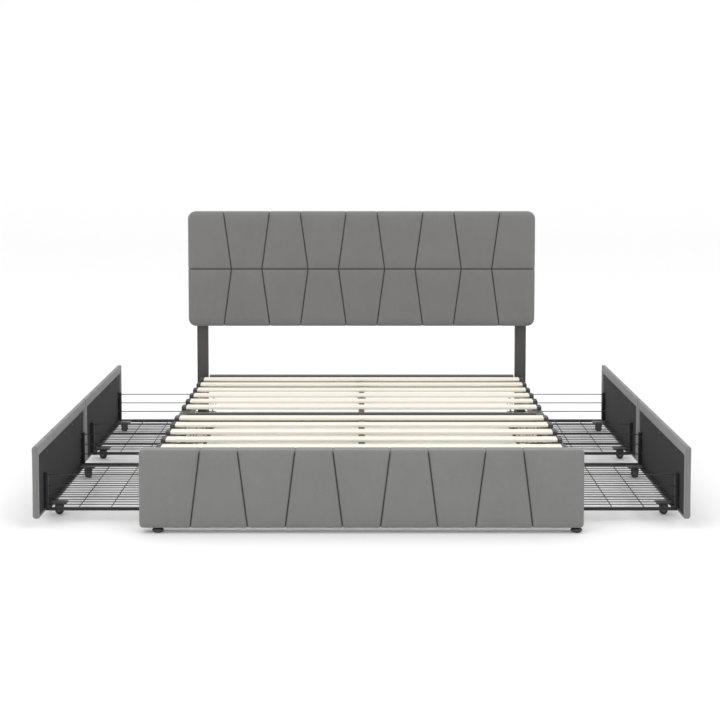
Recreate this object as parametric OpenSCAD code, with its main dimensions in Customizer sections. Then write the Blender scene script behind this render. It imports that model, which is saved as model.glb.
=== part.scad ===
// Upholstered platform bed: steel frame, wooden slats and four rolling storage drawers.
// Millimetres. The origin is on the floor under the middle of the bed, +Z is up,
// +Y runs from the footboard to the headboard and +X is to the right seen from the foot.

/* [Bed] */
// Length over the footboard and the headboard posts
bed_l = 2165; // [2000:5:2300]
// Width over the footboard
foot_w = 1600; // [1300:10:2000]
// Thickness of the footboard
foot_t = 70; // [40:5:100]
// Underside of the footboard above the floor
foot_z0 = 20; // [20:1:60]
// Top of the footboard above the floor
foot_z1 = 304; // [200:1:400]
// Width of the headboard
head_w = 1678; // [1300:2:2100]
// Thickness of the headboard cushion
head_t = 65; // [40:5:100]
// Underside of the headboard cushion above the floor
head_z0 = 500; // [200:10:700]
// Top of the headboard above the floor
head_z1 = 1057; // [800:1:1400]

/* [Upholstery] */
// Channels across the footboard and the headboard
channels = 9; // [3:1:15]
// Channels across one drawer front
front_channels = 6; // [2:1:10]
// Width of the groove at a seam
seam_w = 5; // [2:1:10]
// Depth of the groove at a seam
seam_d = 9; // [3:1:15]
// Sideways lean of each seam, from its middle to its end
seam_lean = 18; // [0:1:40]
// Radius of the footboard and drawer front corners
foot_r = 12; // [4:1:40]
// Radius of the headboard corners
head_r = 36; // [10:1:80]

/* [Slats] */
// Number of slats, half of them on each side of the cross rail
slat_count = 12; // [4:2:12]
// Length of a slat
slat_l = 1514; // [1200:2:1900]
// Width of a slat
slat_w = 63; // [40:1:90]
// Thickness of a slat
slat_t = 12; // [6:1:20]
// Top of the slats above the floor
slat_z = 257; // [200:1:320]
// Distance between slat centres
slat_pitch = 156.7; // [80:0.1:200]

/* [Steel frame] */
// Width of a side rail
rail_w = 38; // [25:1:60]
// Height of a side rail
rail_h = 47; // [30:1:80]
// Wall of the rail, post and leg tubes
wall = 2.5; // [1.5:0.5:4]
// Width of the centre rail
centre_w = 25; // [20:1:60]
// Width of a headboard post
post_w = 54; // [30:1:80]
// Depth of a headboard post
post_t = 30; // [20:1:60]
// Height of a headboard post
post_h = 950; // [700:10:1200]
// Side of a support leg
leg_w = 26; // [20:1:50]

/* [Drawers] */
// Inner face of a drawer front from the middle of the bed, as pulled out
front_x = 1177; // [807:1:1277]
// Thickness of a drawer front
front_t = 27; // [22:1:50]
// Underside of a drawer front above the floor
front_z0 = 34; // [20:1:80]
// Top of a drawer front above the floor
front_z1 = 301; // [220:1:340]
// Depth of a basket behind its front
basket_d = 477; // [300:1:600]
// Width of a basket
basket_w = 820; // [500:5:980]
// Diameter of a hoop wire
hoop_d = 4; // [3:0.5:8]
// Diameter of a floor wire
wire_d = 3.5; // [2:0.5:5]
// Side of a basket frame bar
bar = 12; // [8:1:20]
// Diameter of a caster wheel
wheel_d = 32; // [25:1:60]
// Width of a caster wheel
wheel_w = 15; // [10:1:30]

/* [Hidden] */
$fn = 48;
eps = 1;
y_foot = -bed_l / 2;                 // front face of the footboard
function row(y) = y_foot + y;        // from the footboard's front face to the bed's own frame
fabric_grey = [0.55, 0.55, 0.54];
board_dark = [0.10, 0.10, 0.11];
frame_grey = [0.24, 0.24, 0.235];
slat_cream = [0.90, 0.87, 0.80];
black = [0.06, 0.06, 0.065];

// headboard and posts
head_y1 = bed_l - post_t;            // back of the headboard cushion
head_y0 = head_y1 - head_t;
head_pitch = 185;
board_t = 12;
board_edge = 34;                     // fabric left around a board
post_x1 = foot_w / 2 + 3;
post_x0 = post_x1 - post_w;
bolt_zs = [212, 560, 640, 900];

// footboard
foot_pitch = 171;
foot_board_y = 26;                   // board inside the footboard, hidden by the cushion
foot_board_t = 32;
foot_lip = 14;

// frame heights
rail_z1 = slat_z - slat_t - 2;       // the slats' end caps stand on the rails
rail_z0 = rail_z1 - rail_h;
rail_x1 = 778;
rail_x0 = rail_x1 - rail_w;
head_rail_y0 = 2097;
cross_y = 1098;
cross_w = 30;
cross_z1 = slat_z - 8;               // the cross rail lies a little lower than the slats
centre_h = 40;
slat_mid = 1095.5;
slat_first = 133.5;
slat_half = slat_count / 2;
function slat_y(i) = i < slat_half
    ? slat_mid - slat_first - slat_pitch * (slat_half - 1 - i)
    : slat_mid + slat_first + slat_pitch * (i - slat_half);
cap_grow = 2.5;
cap_x0 = slat_l / 2 - 20;
centre_leg_ys = [430, cross_y, 1766];

// levelling feet under the footboard
lev_xs = [-735, 776];                // the right one as far out as its stem stays in the board
lev_y = 35;
lev_stem_r = 5;
lev_gap = 0.05;

// drawers: 0 is the one next to the footboard, 1 the one next to the headboard
front_l = 1040;
front_gap = 1.5;
front_y = [82, 82 + front_l + front_gap];
front_lip_z = 39;                    // above the board; below it the board meets the edge
front_sill = 1;
front_lip_y = 35;
front_board_t = 6;
front_pocket = 12;
basket_y = [222.5, 1263.5];
basket_x0 = front_x - basket_d;
basket_x1 = front_x - 0.5;
plate = [63, 48, 3];                 // caster plate, let into the wire floor
bar_z = 33;
floor_z = bar_z + bar + wire_d / 2 - 0.35;         // middle of the floor wires, let into the bars
hoop_zs = [84, 126, 168];
cross_wire_x = [815, 935, 1055];
split = 0.4;                         // between the flat panels of a basket
caster_x = [basket_x0 + 36, front_x - 36];
caster_in = 86;                      // casters from the basket's ends
fork_gap = 0.8;
axle_r = 3;
axle_gap = 0.05;
floor_wires = 20;

// ---------- shared shapes ----------

// A rectangle with round corners, standing in X and Z, its thickness running back along +Y.
module rounded_board(w, t, z0, z1, r) {
    translate([0, t, 0]) rotate([90, 0, 0]) linear_extrude(height = t) union() {
        translate([-w / 2 + r, z0]) square([w - 2 * r, z1 - z0]);
        translate([-w / 2, z0 + r]) square([w, z1 - z0 - 2 * r]);
        for (x = [-w / 2 + r, w / 2 - r], z = [z0 + r, z1 - r]) translate([x, z]) circle(r = r);
    }
}

// One straight groove between two points of a face in X and Z, cut from y = 0 to y = seam_d.
module seam(a, b) {
    len = norm(b - a) + 2;
    dir = atan2(b[1] - a[1], b[0] - a[0]);
    translate([0, seam_d, 0]) rotate([90, 0, 0])
        linear_extrude(height = seam_d + eps) translate(a) rotate(dir)
            translate([-1, -seam_w / 2]) square([len, seam_w]);
}

// The leaning seams of a padded board with n channels, its face at y = 0.
module leaning_seams(n, pitch, z0, z1) {
    for (k = [1 : n - 1]) {
        mid = (k - n / 2) * pitch;
        lean = (k % 2 == 1 ? 1 : -1) * seam_lean;
        seam([mid - lean, z0 - eps], [mid + lean, z1 + eps]);
    }
}

// A square tube along Y.
module tube_y(x0, y0, z0, w, l, h) {
    difference() {
        translate([x0, y0, z0]) cube([w, l, h]);
        translate([x0 + wall, y0 - eps, z0 + wall]) cube([w - 2 * wall, l + 2 * eps, h - 2 * wall]);
    }
}

// A square tube along X.
module tube_x(x0, y0, z0, l, w, h) {
    difference() {
        translate([x0, y0, z0]) cube([l, w, h]);
        translate([x0 - eps, y0 + wall, z0 + wall]) cube([l + 2 * eps, w - 2 * wall, h - 2 * wall]);
    }
}

// A square tube standing on a closed foot, open at the top.
module tube_z(x, y, w, d, h) {
    difference() {
        translate([x - w / 2, y - d / 2, 0]) cube([w, d, h]);
        translate([x - w / 2 + wall, y - d / 2 + wall, 4])
            cube([w - 2 * wall, d - 2 * wall, h]);
    }
}

module wire_x(x0, x1, y, z, d) translate([x0, y, z]) rotate([0, 90, 0]) cylinder(d = d, h = x1 - x0, $fn = 8);
module wire_y(y0, y1, x, z, d) translate([x, y0, z]) rotate([-90, 0, 0]) cylinder(d = d, h = y1 - y0, $fn = 8);
module wire_z(z0, z1, x, y, d) translate([x, y, z0]) cylinder(d = d, h = z1 - z0, $fn = 8);

// A right-hand piece as it stands (side = 1), or its mirror image on the left (side = -1).
module on_side(side) {
    if (side > 0) children(); else mirror([1, 0, 0]) children();
}

// ---------- headboard ----------

module head_bolt_holes(r, y0, y1) {
    for (z = bolt_zs, s = [-1, 1])
        translate([s * (post_x0 + post_w / 2), row(y0), z])
            rotate([-90, 0, 0]) cylinder(r = r, h = y1 - y0);
}

module headboard_cushion() color(fabric_grey) {
    mid = (head_z0 + head_z1) / 2;
    difference() {
        translate([0, row(head_y0), 0]) rounded_board(head_w, head_t, head_z0, head_z1, head_r);
        translate([-head_w / 2 + board_edge, row(head_y1 - board_t), head_z0 + board_edge])
            cube([head_w - 2 * board_edge, board_t + eps, head_z1 - head_z0 - 2 * board_edge]);
        translate([0, row(head_y0), 0]) {
            seam([-head_w / 2 - eps, mid], [head_w / 2 + eps, mid]);
            for (k = [1 : channels - 1]) {
                x = (k - channels / 2) * head_pitch;
                lean = (k % 2 == 1 ? 1 : -1) * (seam_lean + 1);
                seam([x - lean, head_z0 - eps], [x + lean, mid]);
                seam([x + lean, mid], [x - lean, head_z1 + eps]);
            }
        }
    }
}

module headboard_backing() color(board_dark) difference() {
    translate([-head_w / 2 + board_edge, row(head_y1 - board_t), head_z0 + board_edge])
        cube([head_w - 2 * board_edge, board_t, head_z1 - head_z0 - 2 * board_edge]);
    head_bolt_holes(4.2, head_y1 - board_t + 3, head_y1 + eps);
}

module headboard_post(side) difference() {
    on_side(side) tube_z(post_x0 + post_w / 2, row(head_y1 + post_t / 2), post_w, post_t, post_h);
    head_bolt_holes(4.2, head_y1 - eps, bed_l + eps);
    head_bolt_holes(8.5, bed_l - 1.8, bed_l + eps);
}

module headboard_post_left() color(frame_grey) headboard_post(-1);
module headboard_post_right() color(frame_grey) headboard_post(1);

// ---------- footboard ----------

module foot_board(grow) {
    translate([-foot_w / 2 + foot_lip - grow, row(foot_board_y), foot_z0 + foot_lip - grow])
        cube([foot_w - 2 * foot_lip + 2 * grow, foot_board_t, foot_z1 - foot_z0 - 2 * foot_lip + 2 * grow]);
}

module levelling_bores(h) {
    for (x = lev_xs) translate([x, row(lev_y), foot_z0 - eps])
        cylinder(r = lev_stem_r + lev_gap, h = h + eps);
}

module footboard_cushion() color(fabric_grey) difference() {
    translate([0, row(0), 0]) rounded_board(foot_w, foot_t, foot_z0, foot_z1, foot_r);
    translate([-foot_w / 2 + foot_lip, row(foot_board_y), foot_z0 + foot_lip])
        cube([foot_w - 2 * foot_lip, foot_t, foot_z1 - foot_z0 - 2 * foot_lip]);
    translate([0, row(0), 0]) leaning_seams(channels, foot_pitch, foot_z0, foot_z1);
    levelling_bores(foot_lip + 6);
}

module footboard_backing() color(board_dark) difference() {
    translate([-foot_w / 2 + foot_lip, row(foot_board_y), foot_z0 + foot_lip])
        cube([foot_w - 2 * foot_lip, foot_t - foot_board_y - 2, foot_z1 - foot_z0 - 2 * foot_lip]);
    levelling_bores(56);
}

module levelling_foot(x) translate([x, row(lev_y), 0]) {
    cylinder(d = 30, h = 3);
    translate([0, 0, 2]) cylinder(d1 = 27, d2 = 43, h = 5);
    translate([0, 0, 7]) cylinder(d = 43, h = 5);
    translate([0, 0, 12]) cylinder(d1 = 43, d2 = 24, h = 6);
    translate([0, 0, 17]) cylinder(d = 17, h = 2.5, $fn = 6);
    translate([0, 0, 17]) cylinder(r = lev_stem_r, h = 46);
}

module levelling_foot_left() color(black) levelling_foot(lev_xs[0]);
module levelling_foot_right() color(black) levelling_foot(lev_xs[1]);

// ---------- steel frame ----------

module side_rail(side) on_side(side) difference() {
    tube_y(rail_x0, row(foot_t), rail_z0, rail_w, head_y1 - foot_t, rail_h);
    // clearance for the bolt that comes through the post
    translate([post_x0 + post_w / 2, row(head_y1 - 40), bolt_zs[0]])
        rotate([-90, 0, 0]) cylinder(r = 4.2, h = 50);
}

module side_rail_left() color(frame_grey) side_rail(-1);
module side_rail_right() color(frame_grey) side_rail(1);

module head_rail() color(frame_grey)
    tube_x(-rail_x0, row(head_rail_y0), rail_z0, 2 * rail_x0, head_y1 - head_rail_y0, slat_z - rail_z0);

module cross_rail() color(frame_grey)
    tube_x(-rail_x0, row(cross_y - cross_w / 2), rail_z0 + 7, 2 * rail_x0, cross_w, cross_z1 - rail_z0 - 7);

module centre_rail() color(frame_grey) {
    top = slat_z - slat_t;
    tube_y(-centre_w / 2, row(foot_t), top - centre_h, centre_w, cross_y - cross_w / 2 - foot_t, centre_h);
    tube_y(-centre_w / 2, row(cross_y + cross_w / 2), top - centre_h,
        centre_w, head_rail_y0 - cross_y - cross_w / 2, centre_h);
}

module support_legs() color(frame_grey) {
    under = slat_z - slat_t - centre_h;
    for (y = centre_leg_ys)
        tube_z(0, row(y), leg_w, leg_w, y == cross_y ? rail_z0 + 7 : under);
    for (s = [-1, 1]) tube_z(s * (rail_x0 + rail_w / 2), row(cross_y), leg_w, leg_w, rail_z0);
}

// A foot under a slat's end and a block past its tip, level with the slat's top.
module slat_cap() {
    half = slat_w / 2 + cap_grow;
    tip = rail_x1;
    z0 = rail_z1;
    difference() {
        translate([0, 0, z0]) linear_extrude(height = slat_t + 2) polygon([
            [cap_x0, -half], [tip - 11, -half], [tip - 3, -half + 6], [tip, -half + 14],
            [tip, half - 14], [tip - 3, half - 6], [tip - 11, half], [cap_x0, half]]);
        translate([cap_x0 - eps, -slat_w, z0 + 1.8])
            cube([slat_l / 2 - cap_x0 + eps + 0.2, 2 * slat_w, slat_t + 2]);
    }
}

module slat_caps() color(black)
    for (i = [0 : slat_count - 1], s = [-1, 1]) translate([0, row(slat_y(i)), 0]) on_side(s) slat_cap();

module frame_bolts() color(black)
    for (s = [-1, 1], z = bolt_zs) translate([s * (post_x0 + post_w / 2), row(bed_l), z])
        rotate([90, 0, 0]) {
            difference() {
                cylinder(r = 8, h = 1.8);
                translate([0, 0, -eps]) cylinder(r = 3, h = eps + 1, $fn = 6);
            }
            translate([0, 0, 1.5]) cylinder(r = 4, h = post_t + 5.5);
        }

// ---------- slats ----------

module slat(i) color(slat_cream)
    translate([-slat_l / 2, row(slat_y(i)) - slat_w / 2, slat_z - slat_t]) cube([slat_l, slat_w, slat_t]);

module slat_01() slat(0);
module slat_02() slat(1);
module slat_03() slat(2);
module slat_04() slat(3);
module slat_05() slat(4);
module slat_06() slat(5);
module slat_07() slat(6);
module slat_08() slat(7);
module slat_09() slat(8);
module slat_10() slat(9);
module slat_11() slat(10);
module slat_12() slat(11);

// ---------- drawers ----------

// The padded front of drawer d, its seams on the outer face.
module drawer_front(side, d) color(fabric_grey) on_side(side)
    translate([0, row(front_y[d] + front_l / 2), 0]) difference() {
        translate([front_x + front_t, 0, 0]) rotate([0, 0, 90])
            rounded_board(front_l, front_t, front_z0, front_z1, foot_r);
        translate([front_x - eps, -front_l / 2 + front_lip_y, front_z0 + front_sill])
            cube([front_pocket + eps, front_l - 2 * front_lip_y, front_z1 - front_z0 - front_lip_z - front_sill]);
        translate([front_x + front_t, 0, 0]) rotate([0, 0, 90])
            leaning_seams(front_channels, front_l / front_channels, front_z0, front_z1);
    }

module drawer_board(side, d) color(board_dark) on_side(side)
    translate([front_x + front_pocket - front_board_t, row(front_y[d]) + front_lip_y, front_z0 + front_sill])
        cube([front_board_t, front_l - 2 * front_lip_y, front_z1 - front_z0 - front_lip_z - front_sill]);

// Flat panels of wire, kept just apart so that each one is its own solid.
module basket(side, d) color(black) on_side(side) {
    y0 = row(basket_y[d]);
    y1 = y0 + basket_w;
    x0 = basket_x0;
    x1 = basket_x1;
    // floor, its wires cut short at the caster plates
    difference() {
        translate([x0, y0, bar_z]) cube([x1 - x0, basket_w, bar]);
        translate([x0 + bar, y0 + bar, bar_z - eps])
            cube([x1 - x0 - 2 * bar, basket_w - 2 * bar, bar + 2 * eps]);
    }
    pitch = (basket_w - bar) / floor_wires;
    difference() {
        union() {
            for (i = [1 : floor_wires - 1]) wire_x(x0 + 3, x1 - 3, y0 + bar / 2 + i * pitch, floor_z, wire_d);
            for (x = cross_wire_x) wire_y(y0 + bar - 2, y1 - bar + 2, x, floor_z - wire_d + 0.4, wire_d + 0.5);
        }
        for (n = [0 : 3]) translate(caster_at(d, n) + [0, 0, floor_z])
            cube([plate[0] + 1, plate[1] + 1, 2 * wire_d], center = true);
    }
    // ends, each with a flat strip that is screwed to the front's board
    foot = bar_z + bar + split;
    for (y = [y0 + bar / 2, y1 - bar / 2]) {
        for (z = hoop_zs) wire_x(x0 + bar / 2 + hoop_d / 2 + split, x1 - 6, y, z, hoop_d);
        wire_z(foot, hoop_zs[2] + hoop_d / 2, x0 + 22, y, hoop_d - 1);
        translate([x1 - 9, y - 6, foot]) cube([4, bar, hoop_zs[2] + 8 - foot]);
        translate([x1 - 6, y - 6, hoop_zs[0] - 12])
            cube([front_x + front_pocket - front_board_t - x1 + 6, bar, hoop_zs[2] - hoop_zs[0] + 20]);
    }
    // back
    for (z = hoop_zs) wire_y(y0 + bar / 2, y1 - bar / 2, x0 + bar / 2, z, hoop_d);
    for (y = [y0 + bar / 2, y1 - bar / 2])
        wire_z(foot, hoop_zs[2] + hoop_d / 2, x0 + bar / 2, y, hoop_d + 0.5);
}

// One rigid caster without its wheel: plate, crown, two cheeks and the axle along Y.
module caster_fork() {
    in = wheel_w / 2 + fork_gap;
    cheek = 2.5;
    crown_z = wheel_d + 2;
    translate([-plate[0] / 2, -plate[1] / 2, bar_z + bar]) cube(plate);
    translate([0, 0, crown_z + 1]) cylinder(r = 14, h = bar_z + bar + 1 - crown_z - 1);
    translate([-16, -in - cheek, crown_z]) cube([32, 2 * (in + cheek), 3]);
    for (s = [-1, 1]) translate([0, s > 0 ? in + cheek : -in, 0]) rotate([90, 0, 0])
        linear_extrude(height = cheek) polygon([
            [-16, crown_z + 3], [-15, crown_z - 6], [-7, 9], [7, 9], [15, crown_z - 6], [16, crown_z + 3]]);
    translate([0, in + cheek + 1.5, wheel_d / 2]) rotate([90, 0, 0])
        cylinder(r = axle_r, h = 2 * (in + cheek + 1.5));
}

module caster_wheel() translate([0, 0, wheel_d / 2]) rotate([90, 0, 0]) rotate_extrude() polygon([
    [axle_r + axle_gap, -wheel_w / 2], [7, -wheel_w / 2], [8, -wheel_w / 2 + 2],
    [11.5, -wheel_w / 2 + 2], [12.5, -wheel_w / 2], [wheel_d / 2 - 1.5, -wheel_w / 2],
    [wheel_d / 2, -wheel_w / 2 + 2], [wheel_d / 2, wheel_w / 2 - 2], [wheel_d / 2 - 1.5, wheel_w / 2],
    [12.5, wheel_w / 2], [11.5, wheel_w / 2 - 2], [8, wheel_w / 2 - 2], [7, wheel_w / 2],
    [axle_r + axle_gap, wheel_w / 2]]);

function caster_at(d, n) = [caster_x[n % 2],
    row(basket_y[d] + (n < 2 ? caster_in : basket_w - caster_in)), 0];
module casters(side, d) color(frame_grey) on_side(side)
    for (n = [0 : 3]) translate(caster_at(d, n)) caster_fork();
module wheel(side, d, n) color(black) on_side(side) translate(caster_at(d, n)) caster_wheel();

module left_foot_front() drawer_front(-1, 0);
module left_foot_board() drawer_board(-1, 0);
module left_foot_basket() basket(-1, 0);
module left_foot_casters() casters(-1, 0);
module left_foot_wheel_1() wheel(-1, 0, 0);
module left_foot_wheel_2() wheel(-1, 0, 1);
module left_foot_wheel_3() wheel(-1, 0, 2);
module left_foot_wheel_4() wheel(-1, 0, 3);
module left_head_front() drawer_front(-1, 1);
module left_head_board() drawer_board(-1, 1);
module left_head_basket() basket(-1, 1);
module left_head_casters() casters(-1, 1);
module left_head_wheel_1() wheel(-1, 1, 0);
module left_head_wheel_2() wheel(-1, 1, 1);
module left_head_wheel_3() wheel(-1, 1, 2);
module left_head_wheel_4() wheel(-1, 1, 3);
module right_foot_front() drawer_front(1, 0);
module right_foot_board() drawer_board(1, 0);
module right_foot_basket() basket(1, 0);
module right_foot_casters() casters(1, 0);
module right_foot_wheel_1() wheel(1, 0, 0);
module right_foot_wheel_2() wheel(1, 0, 1);
module right_foot_wheel_3() wheel(1, 0, 2);
module right_foot_wheel_4() wheel(1, 0, 3);
module right_head_front() drawer_front(1, 1);
module right_head_board() drawer_board(1, 1);
module right_head_basket() basket(1, 1);
module right_head_casters() casters(1, 1);
module right_head_wheel_1() wheel(1, 1, 0);
module right_head_wheel_2() wheel(1, 1, 1);
module right_head_wheel_3() wheel(1, 1, 2);
module right_head_wheel_4() wheel(1, 1, 3);

headboard_cushion();
headboard_backing();
headboard_post_left();
headboard_post_right();
footboard_cushion();
footboard_backing();
side_rail_left();
side_rail_right();
head_rail();
cross_rail();
centre_rail();
support_legs();
slat_caps();
frame_bolts();
slat_01();
slat_02();
slat_03();
slat_04();
slat_05();
slat_06();
slat_07();
slat_08();
slat_09();
slat_10();
slat_11();
slat_12();
levelling_foot_left();
levelling_foot_right();
left_foot_front();
left_foot_board();
left_foot_basket();
left_foot_casters();
left_foot_wheel_1();
left_foot_wheel_2();
left_foot_wheel_3();
left_foot_wheel_4();
left_head_front();
left_head_board();
left_head_basket();
left_head_casters();
left_head_wheel_1();
left_head_wheel_2();
left_head_wheel_3();
left_head_wheel_4();
right_foot_front();
right_foot_board();
right_foot_basket();
right_foot_casters();
right_foot_wheel_1();
right_foot_wheel_2();
right_foot_wheel_3();
right_foot_wheel_4();
right_head_front();
right_head_board();
right_head_basket();
right_head_casters();
right_head_wheel_1();
right_head_wheel_2();
right_head_wheel_3();
right_head_wheel_4();
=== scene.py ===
"""Platform bed with storage drawers: its upholstery, steel frame, slats, wire baskets and studio."""

import math

import bmesh
import bpy
import numpy as np
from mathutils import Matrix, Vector


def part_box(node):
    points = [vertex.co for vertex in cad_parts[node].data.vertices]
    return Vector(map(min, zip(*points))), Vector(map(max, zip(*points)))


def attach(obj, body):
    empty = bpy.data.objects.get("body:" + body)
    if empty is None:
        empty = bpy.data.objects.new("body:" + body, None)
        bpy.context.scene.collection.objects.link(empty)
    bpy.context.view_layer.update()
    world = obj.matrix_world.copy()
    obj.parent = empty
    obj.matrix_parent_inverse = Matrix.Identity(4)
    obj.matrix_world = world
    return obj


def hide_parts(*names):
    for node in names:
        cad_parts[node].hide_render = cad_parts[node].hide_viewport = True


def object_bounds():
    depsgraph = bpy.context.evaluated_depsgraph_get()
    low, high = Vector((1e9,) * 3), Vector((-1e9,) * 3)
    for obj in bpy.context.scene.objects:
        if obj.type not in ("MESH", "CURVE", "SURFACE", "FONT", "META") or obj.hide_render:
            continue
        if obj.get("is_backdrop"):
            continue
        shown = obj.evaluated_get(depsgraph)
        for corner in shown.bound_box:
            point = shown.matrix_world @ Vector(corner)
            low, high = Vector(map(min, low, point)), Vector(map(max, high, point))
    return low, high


bl_info = {
    "name": "Upholstered storage bed",
    "version": (1, 0, 0),
    "blender": (4, 5, 0),
    "location": "3D View > Sidebar > Bed",
    "description": "Builds a storage bed: padded boards, steel frame, slats, rolling drawers, studio",
    "category": "Add Mesh",
}

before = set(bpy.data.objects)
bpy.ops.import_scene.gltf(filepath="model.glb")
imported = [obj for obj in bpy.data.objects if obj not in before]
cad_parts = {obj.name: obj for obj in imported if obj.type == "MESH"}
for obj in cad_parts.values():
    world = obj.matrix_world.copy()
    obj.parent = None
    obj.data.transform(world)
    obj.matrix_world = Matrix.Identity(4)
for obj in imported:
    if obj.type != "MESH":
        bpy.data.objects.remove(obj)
CAD_LOW, CAD_HIGH = (np.array(corner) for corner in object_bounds())
DRAWERS = ("left_foot", "left_head", "right_foot", "right_head")
X, Y, Z = range(3)

# Padded boards, in metres.
BOARD_CHANNELS = 9          # across the headboard and across the footboard
FRONT_CHANNELS = 6          # across a drawer front
KNEE_EXTRA = 0.001          # how much further a headboard seam runs sideways than a footboard one
GRID_STEP = 0.0105          # between two points where no seam or edge is near
BACK_ROUND = 0.006          # radius between a board's side wall and its lip
FULL_LIP = 0.0065           # a narrower lip shrinks that round in proportion
# SEAM_MASK also sets the width of the painted shade that darkens the cloth colour along each seam.
SEAM_MASK = 0.0022          # half width of the shaded line along a seam
FREE_FROM_SEAM = 0.008      # run over which the stuffing takes hold beside a seam
FREE_FROM_EDGE = 0.010      # the same, beside the outline

# Steel frame and slats.
POST_ROUND = 0.004
PLUG_INSET = 0.0006         # how far a post's plug stands in from its walls
RAIL_ROUND = 0.003
LEG_WIDTH = 0.026
CAP_FOOT = 0.02             # how far a cap reaches under its slat
CAP_BLOCK = 0.0205          # length of a cap's block, measured in from the cap's outer face
CAP_GROW = 0.0025           # how much wider than the slat a cap is, on each side

# Rolling drawers.
BAR = 0.012                 # square bar round a basket's floor
BAR_ROUND = 0.0018
BAR_BEND = 0.016
HOOP_BEND = 0.018
HOOP_HEIGHTS = (0.084, 0.126, 0.168)
CROSS_WIRES = (0.115, 0.235, 0.355)      # from the basket's inner end
WELD = 0.00035              # how far a floor wire sinks into the bar
STRIP_TOP = 0.176
PLATE_HALF = (0.0315, 0.024)
PLATE_BOLTS = (0.025, 0.0175)
CHEEK_INNER, CHEEK_OUTER = 0.0083, 0.0108    # a cheek's two faces, from the wheel's middle
CHEEK_TIP = 0.0078          # radius of a cheek's round lower end
WHEEL_HALF = 0.0075         # half the width of a wheel

# Frame bolts.
BOLT_X = 0.776
BOLT_HEIGHTS = (0.212, 0.560, 0.640, 0.900)

# Studio: each lamp is a name, a place, what it faces, its diameter and its power in watts.
LAMPS = (
    ("overhead", (0.0, 0.2, 5.0), (0, 0, 0), 5.0, 30.0),
    ("front_left", (-4.0, -6.0, 3.2), (0, 0, 0.4), 3.5, 60.0),
    ("front_right", (4.5, -5.5, 2.6), (0, 0, 0.4), 3.5, 40.0),
    ("back", (0.0, 5.5, 3.6), (0, 0, 0.4), 4.0, 15.0),
)
WORLD_STRENGTH = 1.2
CAMERA_SHIFT = (-0.00215, -0.15)
FLOOR_HALF, FLOOR_FRONT, WALL_START, WALL_BEND, WALL_TOP = 40, -30, 14, 6, 30.0


def corners(node):
    """A CAD node's lowest and highest corners as two arrays, in metres."""
    low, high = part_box(node)
    return np.array(low), np.array(high)


# ---------- sizes and colours a user would change ----------


class UpholsteryLook(bpy.types.PropertyGroup):
    """The padded boards: their cloth, seams and fullness."""

    cloth: bpy.props.FloatVectorProperty(
        name="Cloth", description="Mean colour of the grey cloth", subtype="COLOR", size=3, min=0, max=1,
        default=(0.175, 0.174, 0.172))
    # Painted shade: how much the cloth colour is darkened along each seam, standing in for the shade that
    # falls in the crease.
    painted_seam_shade: bpy.props.FloatProperty(
        name="Seam shade", description="How much darker the cloth is in a seam", subtype="FACTOR",
        min=0, max=1, default=0.93)
    seam_depth: bpy.props.FloatProperty(
        name="Seam depth", description="Depth of a sewn seam", unit="LENGTH",
        min=0.001, max=0.02, default=0.0070)
    seam_width: bpy.props.FloatProperty(
        name="Seam half width", description="How far a seam pulls the cloth in beside it", unit="LENGTH",
        min=0.001, max=0.02, default=0.0026)
    crown: bpy.props.FloatProperty(
        name="Crown", description="How far the foam stands proud between two seams", unit="LENGTH",
        min=0, max=0.012, default=0.0045)
    thread: bpy.props.FloatProperty(
        name="Thread pitch", description="Distance between two threads of the cloth", unit="LENGTH",
        min=0.0004, max=0.004, default=0.0014)
    head_pitch: bpy.props.FloatProperty(
        name="Headboard channel", description="Mean width of a headboard channel", unit="LENGTH",
        min=0.05, max=0.5, default=0.185)
    foot_pitch: bpy.props.FloatProperty(
        name="Footboard channel", description="Mean width of a footboard channel", unit="LENGTH",
        min=0.05, max=0.5, default=0.171)
    lean: bpy.props.FloatProperty(
        name="Seam lean", description="Sideways run of a seam from its middle to its end", unit="LENGTH",
        min=0, max=0.05, default=0.018)


class SteelLook(bpy.types.PropertyGroup):
    """The coated steel of the frame and the baskets."""

    frame_coat: bpy.props.FloatVectorProperty(
        name="Frame coat", description="Colour of the coated frame", subtype="COLOR", size=3, min=0, max=1,
        default=(0.060, 0.059, 0.056))
    wire_coat: bpy.props.FloatVectorProperty(
        name="Wire coat", description="Colour of the coated basket wire", subtype="COLOR", size=3,
        min=0, max=1, default=(0.018, 0.018, 0.019))
    hoop: bpy.props.FloatProperty(
        name="Hoop wire", description="Diameter of a basket's hoop wire", unit="LENGTH",
        min=0.003, max=0.01, default=0.004)
    floor_wire: bpy.props.FloatProperty(
        name="Floor wire", description="Diameter of a basket's floor wire", unit="LENGTH",
        min=0.002, max=0.006, default=0.0035)
    floor_gaps: bpy.props.IntProperty(
        name="Floor gaps", description="Gaps between floor wires across a basket", min=5, max=40, default=20)


class SlatLook(bpy.types.PropertyGroup):
    """The wooden slats."""

    wood: bpy.props.FloatVectorProperty(
        name="Wood", description="Mean colour of the pale slat wood", subtype="COLOR", size=3, min=0, max=1,
        default=(0.51, 0.475, 0.400))
    edge: bpy.props.FloatProperty(
        name="Edge radius", description="Rounding of a slat's long edges", unit="LENGTH",
        min=0.0005, max=0.004, default=0.003)


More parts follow.
